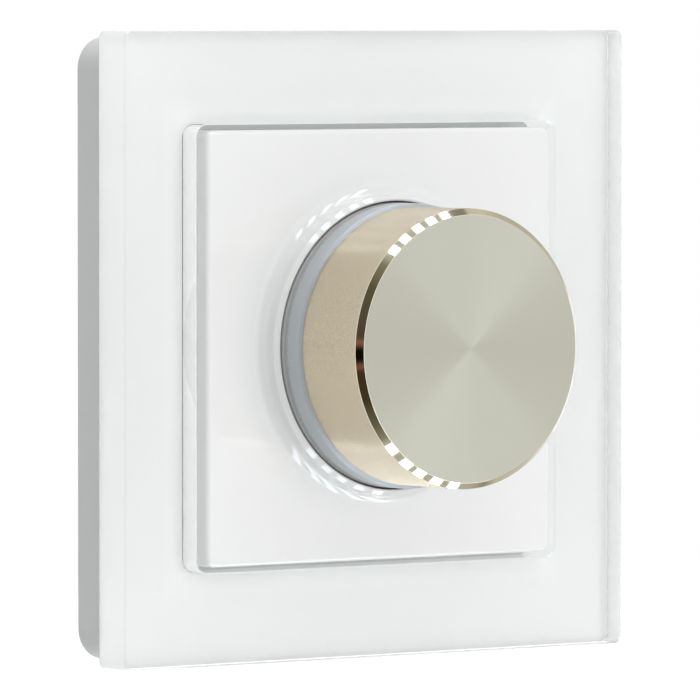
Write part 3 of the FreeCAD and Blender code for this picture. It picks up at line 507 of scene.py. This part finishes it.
# Painted light: the ring's foot down in the dark well is paler.
RING_FOOT_PAINTED_LIGHT = (0.66, 0.66, 0.65)
RING_FOOT_PAINTED_LIGHT_FROM = -15.6 * MM
RING_FOOT_PAINTED_LIGHT_FADE = 0.5 * MM
RING_ROUGHNESS = 0.35
RING_TRANSLUCENCY = 0.6
RING_LIGHT_REACH = 1.5 * MM
RING_GRAIN = 0.35 * MM
RING_GRAIN_DEPTH = 0.02 * MM


def translucent_ring():
    finish = Finish("ring_translucent")
    grain = finish.speckle(RING_GRAIN, detail=3.0)
    depth = finish.axis("Y")
    # Painted shade darkens the ring towards the collar, with a ragged edge; painted light makes it paler in
    # the well.
    painted_shade = (depth - RING_PAINTED_SHADE_FROM) * (1 / RING_PAINTED_SHADE_FADE) + (grain - 0.5) * RING_PAINTED_SHADE_RAGGEDNESS
    foot_painted_light = (depth - RING_FOOT_PAINTED_LIGHT_FROM) * (1 / RING_FOOT_PAINTED_LIGHT_FADE)
    grey_and_painted_shade = finish.blend(painted_shade.clamped(), RING_GREY, RING_PAINTED_SHADE)
    return finish.surface({
        "Base Color": finish.blend(foot_painted_light.clamped(), grey_and_painted_shade, RING_FOOT_PAINTED_LIGHT),
        "Roughness": RING_ROUGHNESS,
        "Subsurface Weight": RING_TRANSLUCENCY,
        "Subsurface Radius": Vector((1.0, 1.0, 1.0)),
        "Subsurface Scale": RING_LIGHT_REACH,
        "Normal": finish.bumps(grain, RING_GRAIN_DEPTH),
    })


wear("light_ring", translucent_ring())

# Knob core: a moulded hub with a D-shaped bore, and a spring band on its split boss.
# The hub is pressed into the cap from behind.

HUB_WHITE = (0.60, 0.60, 0.58)
HUB_TEXTURE = {"roughness": 0.5, "grain": 0.3 * MM, "depth": 0.015 * MM}

wear("knob_hub", moulding("hub_polyamide", HUB_WHITE, **HUB_TEXTURE))
wear("hub_clip", spring)

# Knob cap: turned from aluminium and anodised in a champagne tone. Its side is blasted and has a fine
# lengthwise grain, its face has concentric turning marks, and the chamfer between them, cut last with a
# diamond, shines.

CHAMPAGNE_SIDE = (0.70, 0.607, 0.457)
SIDE_ROUGHNESS = 0.24
SIDE_FLECK = 0.24 * MM
SIDE_FLECK_CONTRAST = 4.0
SIDE_FLECK_SHADE = 0.88
SIDE_GRAIN = 0.16 * MM
SIDE_GRAIN_ROUGHNESS = 0.04
SIDE_GRAIN_DEPTH = 0.0015 * MM
SIDE_GRAIN_STRENGTH = 0.6
CHAMPAGNE_FACE = (0.55, 0.545, 0.465)
FACE_ROUGHNESS = 0.28
FACE_STREAKS = 0.85
TURNING_PITCH = 0.11 * MM
TURNING_SHADE = 0.94
TURNING_ROUGHNESS = 0.08
CHAMPAGNE_CUT = (0.90, 0.84, 0.70)
CUT_ROUGHNESS = 0.05
CUT_HAZE = 0.4 * MM
CUT_HAZE_SHADE = 0.96
CUT_HAZE_ROUGHNESS = 0.02
QUARTER_TURN = 0.25
CAP_CHAMFER = 0.8 * MM
CAP_EDGE = 0.06 * MM
CAP_GLINT = 0.06 * MM
CAP_WALL = 1.3 * MM
CAP_FACE_THICKNESS = 1.6 * MM
CAP_SEGMENTS = 192
CAP_SMOOTH_BELOW = math.radians(15)
FACE_RINGS = (0.75, 0.5, 0.25, 0.05)
SIDE, FACE, CUT = 0, 1, 2


def blasted_metal():
    finish = Finish("champagne_blasted")
    grain = finish.speckle(SIDE_GRAIN, detail=1.0)
    fleck = ((finish.speckle(SIDE_FLECK) - 0.5) * SIDE_FLECK_CONTRAST + 0.5).clamped()
    return finish.surface({
        "Base Color": finish.blend(fleck, darkened(CHAMPAGNE_SIDE, SIDE_FLECK_SHADE), CHAMPAGNE_SIDE),
        "Metallic": 1.0,
        "Roughness": grain * SIDE_GRAIN_ROUGHNESS + SIDE_ROUGHNESS,
        "Anisotropic": 1.0,
        "Anisotropic Rotation": QUARTER_TURN,
        "Normal": finish.bumps(grain, SIDE_GRAIN_DEPTH, SIDE_GRAIN_STRENGTH),
    })


def turned_face():
    finish = Finish("champagne_turned")
    x, y = finish.axis("X"), finish.axis("Y")
    radius = (x * x + y * y) ** 0.5
    values = {"W": radius, "Scale": 1 / TURNING_PITCH}
    marks = finish.node("TexNoise", {"noise_dimensions": "1D"}, values, "Fac")
    return finish.surface({
        "Base Color": finish.blend(marks, darkened(CHAMPAGNE_FACE, TURNING_SHADE), CHAMPAGNE_FACE),
        "Metallic": 1.0,
        "Roughness": marks * TURNING_ROUGHNESS + FACE_ROUGHNESS,
        "Anisotropic": FACE_STREAKS,
        "Anisotropic Rotation": QUARTER_TURN,
    })


def diamond_cut():
    finish = Finish("champagne_cut")
    haze = finish.speckle(CUT_HAZE)
    return finish.surface({
        "Base Color": finish.blend(haze, darkened(CHAMPAGNE_CUT, CUT_HAZE_SHADE), CHAMPAGNE_CUT),
        "Metallic": 1.0,
        "Roughness": haze * CUT_HAZE_ROUGHNESS + CUT_ROUGHNESS,
    })


def cap_ring(mesh, radius, height):
    """Circle of vertices round the cap's own axis."""
    angles = [2 * math.pi * index / CAP_SEGMENTS for index in range(CAP_SEGMENTS)]
    return [mesh.verts.new((radius * math.cos(a), radius * math.sin(a), height)) for a in angles]


cap_low, cap_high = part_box("knob_cap")
cap_radius = cap_high[2]
cap_length = cap_high[1] - cap_low[1]
chamfer_foot = cap_length - CAP_CHAMFER
bore = cap_radius - CAP_WALL
cap_profile = [
    (bore, 0.0, SIDE),
    (cap_radius - CAP_EDGE, 0.0, SIDE),
    (cap_radius, CAP_EDGE, SIDE),
    (cap_radius, chamfer_foot - CAP_GLINT / 2, CUT),
    (cap_radius - CAP_GLINT / 2, chamfer_foot + CAP_GLINT / 2, CUT),
    (cap_radius - CAP_CHAMFER + CAP_GLINT / 2, cap_length - CAP_GLINT / 2, CUT),
    (cap_radius - CAP_CHAMFER - CAP_GLINT / 2, cap_length, FACE),
]
cap = bmesh.new()
cap_rings = [cap_ring(cap, radius, height) for radius, height, slot in cap_profile]
for first, second, (radius, height, slot) in zip(cap_rings, cap_rings[1:], cap_profile):
    bridge(cap, first, second, slot, smooth=True)
face_rings = [cap_ring(cap, cap_profile[-1][0] * part, cap_length) for part in FACE_RINGS]
for first, second in zip([cap_rings[-1]] + face_rings, face_rings):
    bridge(cap, first, second, FACE)
centre = cap.verts.new((0, 0, cap_length))
for index, vertex in enumerate(face_rings[-1]):
    following = face_rings[-1][(index + 1) % CAP_SEGMENTS]
    cap.faces.new((vertex, following, centre)).material_index = FACE
bore_end = cap_ring(cap, bore, cap_length - CAP_FACE_THICKNESS)
bridge(cap, bore_end, cap_rings[0], SIDE, smooth=True)
cap.faces.new(bore_end)
bmesh.ops.recalc_face_normals(cap, faces=cap.faces)
for edge in cap.edges:
    edge.smooth = edge.calc_face_angle(0) < CAP_SMOOTH_BELOW
turned_cap = make_object("turned_cap", cap, blasted_metal(), turned_face(), diamond_cut())
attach(turned_cap, "knob")
turned_cap.matrix_world = Matrix.Translation((0, cap_high[1], 0)) @ Matrix.Rotation(math.pi / 2, 4, "X")
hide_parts("knob_cap")

# The view: a long lens, level with the middle of the frame and to the left of it, over a white floor.
# The light is soft: pale from all round, stronger from above, with one broad lamp in front.

CAMERA_BEFORE_GLASS = Vector((-659.8, -860.1, 43.0)) * MM
CAMERA_YAW = math.radians(37.297)
CAMERA_DIP = math.radians(2.31)
FOCAL_LENGTH = 437.2
SENSOR_WIDTH = 36.0
FLOOR_DROP = 0.5
FLOOR_REACH = 6.0
FLOOR_WHITE = (0.62, 0.62, 0.62)
FLOOR_GLOW = 0.6
FLOOR_SHEEN = 0.42
LIGHT_WHITE = (1.0, 1.0, 1.0)
WORLD_LIGHT = 0.38
OVERHEAD_LIGHT = 2.1
GLASS_LIGHT = 0.94
FRONTAL_LIGHT = 1.0
LAMP_PLACE = (0.1, -1.3, 0.0)
LAMP_POWER = 7.1
LAMP_SIZE = 0.8

camera_data = bpy.data.cameras.new("view")
camera_data.lens = FOCAL_LENGTH
camera_data.sensor_width = SENSOR_WIDTH
camera = bpy.data.objects.new("view", camera_data)
camera.location = CAMERA_BEFORE_GLASS + Vector((0, glass_low[1], 0))
camera.rotation_euler = (math.pi / 2 - CAMERA_DIP, 0, -CAMERA_YAW)
bpy.context.scene.collection.objects.link(camera)
bpy.context.scene.camera = camera


def floor_paint():
    finish = Finish("floor_white")
    strength = finish.ray("Is Camera Ray") * FLOOR_GLOW + finish.ray("Is Glossy Ray") * FLOOR_SHEEN
    glow = finish.node("Emission", {}, {"Color": LIGHT_WHITE, "Strength": strength})
    paint = finish.node("BsdfDiffuse", {}, {"Color": FLOOR_WHITE})
    return finish.close(finish.node("AddShader", {}, {0: paint, 1: glow}))


floor_z = glass_low[2] - FLOOR_DROP
floor_mesh = bmesh.new()
corners = [(-1, -1), (1, -1), (1, 1), (-1, 1)]
floor_verts = [floor_mesh.verts.new((x * FLOOR_REACH, y * FLOOR_REACH, floor_z)) for x, y in corners]
floor_mesh.faces.new(floor_verts)
floor = make_object("floor", floor_mesh, floor_paint())

surroundings = Finish("surroundings", bpy.data.worlds)
camera_ray = surroundings.ray("Is Camera Ray")
glass_ray = surroundings.ray("Is Transmission Ray")
mirror_ray = surroundings.ray("Is Glossy Ray") * (1.0 - glass_ray)
direction = surroundings.coordinates("Generated")
upward = surroundings.split(direction, "Z")
frontal = surroundings.split(direction, "Y")
shed_light = WORLD_LIGHT + upward * upward * upward * upward * OVERHEAD_LIGHT
through_glass = GLASS_LIGHT + frontal * frontal * FRONTAL_LIGHT
seen = camera_ray + mirror_ray
strength = seen + glass_ray * through_glass + (1.0 - seen - glass_ray) * shed_light
sky = surroundings.node("Background", {}, {"Color": LIGHT_WHITE, "Strength": strength})
bpy.context.scene.world = surroundings.close(sky, "World")

light = bpy.data.lights.new("front_lamp", "AREA")
light.shape = "DISK"
light.size = LAMP_SIZE
light.energy = LAMP_POWER
lamp = bpy.data.objects.new("front_lamp", light)
lamp.location = LAMP_PLACE
lamp.rotation_euler = (-Vector(LAMP_PLACE)).to_track_quat("-Z", "Y").to_euler()
lamp.visible_camera = False
lamp.visible_glossy = False
bpy.context.scene.collection.objects.link(lamp)

# What the knob mirrors: an arched strip round it, seen by mirrors only, where its chamfer shows it.
# Its middle is the dark room, and towards each end are five bright lamps. Paler panels lie beside the
# lower five.

STRIP_DISTANCE = 0.5
STRIP_SPREAD = math.radians(24.0)
STRIP_STEPS = 120
ROOM_START, ROOM_END = 20.0, 322.0
UPPER_LAMPS = (133.1, 125.8, 117.8, 110.2, 102.8)
UPPER_LAMP_REACH = 1.9
UPPER_LAMP_WIDTH = 0.6
UPPER_GLOW = 8.0
LOWER_LAMPS = (225.2, 235.1, 243.2, 252.7, 262.0)
LOWER_LAMP_REACH = 2.4
LOWER_GLOW = 6.8
LAMP_TINT = (0.88, 0.98, 1.10)
PANEL_START, PANEL_END = 223.0, 268.0
PANEL_OFF_MIDDLE = 0.3
PANEL_GLOW = 2.3
BETWEEN_LAMPS = (0.42, 0.42, 0.36)
ROOM_STOPS = [
    (ROOM_START, (0.98, 0.95, 0.88)),
    (30.0, (0.56, 0.55, 0.49)),
    (60.0, (0.49, 0.48, 0.42)),
    (74.0, (0.50, 0.49, 0.43)),
    (84.0, (0.62, 0.61, 0.55)),
    (90.5, (0.60, 0.58, 0.50)),
    (92.5, (0.24, 0.23, 0.17)),
    (98.5, (0.27, 0.26, 0.20)),
    (100.0, BETWEEN_LAMPS),
    (137.5, BETWEEN_LAMPS),
    (141.0, (0.22, 0.21, 0.15)),
    (147.0, (0.17, 0.155, 0.105)),
    (152.0, (0.10, 0.09, 0.06)),
    (168.0, (0.085, 0.07, 0.048)),
    (174.0, (0.08, 0.055, 0.04)),
    (176.0, (0.26, 0.13, 0.09)),
    (178.5, (0.004, 0.003, 0.002)),
    (183.5, (0.004, 0.003, 0.002)),
    (186.0, (0.22, 0.10, 0.06)),
    (188.0, (0.05, 0.03, 0.015)),
    (200.0, (0.05, 0.04, 0.02)),
    (212.0, (0.13, 0.12, 0.08)),
    (219.0, (0.25, 0.24, 0.19)),
    (221.0, BETWEEN_LAMPS),
    (266.0, BETWEEN_LAMPS),
    (269.0, (0.46, 0.46, 0.42)),
    (274.0, (0.40, 0.39, 0.33)),
    (278.0, (0.28, 0.27, 0.21)),
    (284.0, (0.54, 0.53, 0.46)),
    (300.0, (0.62, 0.61, 0.55)),
    (ROOM_END, (0.98, 0.95, 0.88)),
]


def mirrored_by_chamfer(degrees):
    """Where the cap's chamfer mirrors the line of sight, at that place round the knob."""
    sight = Vector((math.sin(CAMERA_YAW), math.cos(CAMERA_YAW), 0)) * math.cos(CAMERA_DIP)
    sight.z = -math.sin(CAMERA_DIP)
    turn = math.radians(degrees)
    normal = Vector((math.cos(turn), -1, math.sin(turn))).normalized()
    return sight.reflect(normal)


def lamp_row(degrees, places, reach):
    """One where a lamp of the row is, and zero between the lamps."""
    return sum(abs(degrees - place) < reach for place in places)


def room_paint():
    finish = Finish("mirrored_room")
    unwrapped = finish.coordinates("UV")
    along = finish.split(unwrapped, "X")
    off_middle = abs(finish.split(unwrapped, "Y") * 2.0 - 1.0)
    span = ROOM_END - ROOM_START
    degrees = along * span + ROOM_START
    stops = [((place - ROOM_START) / span, colour) for place, colour in ROOM_STOPS]
    shade = finish.node("ValToRGB", {"stops": stops}, {"Fac": along}, "Color")
    upper = lamp_row(degrees, UPPER_LAMPS, UPPER_LAMP_REACH) * (off_middle < UPPER_LAMP_WIDTH)
    lower = lamp_row(degrees, LOWER_LAMPS, LOWER_LAMP_REACH)
    beside = (degrees > PANEL_START) * (degrees < PANEL_END) * (off_middle > PANEL_OFF_MIDDLE)
    panel = beside * (1.0 - lower)
    colour = finish.blend(upper + lower + panel, shade, LAMP_TINT)
    glow = 1.0 + upper * (UPPER_GLOW - 1) + lower * (LOWER_GLOW - 1) + panel * (PANEL_GLOW - 1)
    direct = finish.ray("Diffuse Depth") < 0.5
    return finish.close(finish.node("Emission", {}, {"Color": colour, "Strength": glow * direct}))


turn_step = (ROOM_END - ROOM_START) / STRIP_STEPS
directions = [mirrored_by_chamfer(ROOM_START + turn_step * step) for step in range(-1, STRIP_STEPS + 2)]
strip = bmesh.new()
uv = strip.loops.layers.uv.new("along")
knob_middle = Vector((0, cap_low[1], 0))
strip_rows = []
for before, direction, after in zip(directions, directions[1:], directions[2:]):
    sway = (after - before).cross(direction).normalized() * math.tan(STRIP_SPREAD)
    ways = [(direction + sway * side).normalized() for side in (-1, 0, 1)]
    strip_rows.append([strip.verts.new(knob_middle + way * STRIP_DISTANCE) for way in ways])
for step, (row, following) in enumerate(zip(strip_rows, strip_rows[1:])):
    for side in (0, 1):
        face = strip.faces.new((row[side], row[side + 1], following[side + 1], following[side]))
        corners = ((step, side), (step, side + 1), (step + 1, side + 1), (step + 1, side))
        for loop, (along, across) in zip(face.loops, corners):
            loop[uv].uv = (along / STRIP_STEPS, across / 2)
mirrored_room = make_object("mirrored_room", strip, room_paint())
for rays in ("camera", "diffuse", "shadow", "transmission", "volume_scatter"):
    setattr(mirrored_room, "visible_" + rays, False)

bpy.context.scene.view_settings.view_transform = "Standard"
